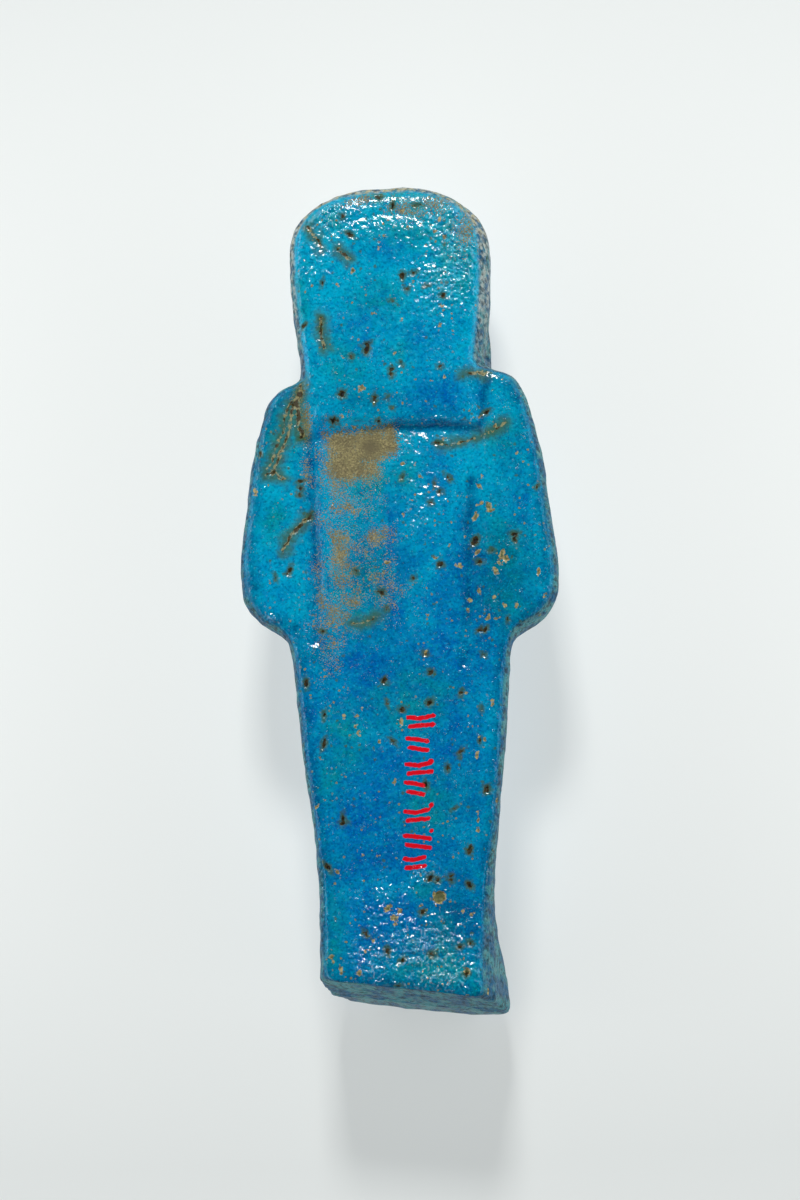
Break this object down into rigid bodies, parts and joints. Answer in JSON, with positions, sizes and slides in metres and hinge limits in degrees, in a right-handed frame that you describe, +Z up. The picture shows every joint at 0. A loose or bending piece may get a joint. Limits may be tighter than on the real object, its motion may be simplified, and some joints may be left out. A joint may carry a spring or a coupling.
{
  "type": "ushabti figurine",
  "caption": "Mummy-shaped funerary figurine of blue-glazed faience, flat behind, with a long wig and crossed arms, lying on its front.",
  "frame": {"origin": "on the surface the figure lies on, under the middle of its outline", "axes": "+Z up, out of the flat back; +Y along the figure towards the crown; +X to the right looking down on the back"},
  "size_m": [0.0404, 0.1052, 0.0236],
  "materials": {
    "glazed_faience": "glossy copper-blue glaze, mottled from turquoise to deep blue, with brown pits and a bare sandy patch on the back"
  },
  "bodies": {
    "root": {"ushabti": "glazed_faience"}
  },
  "joints": []
}
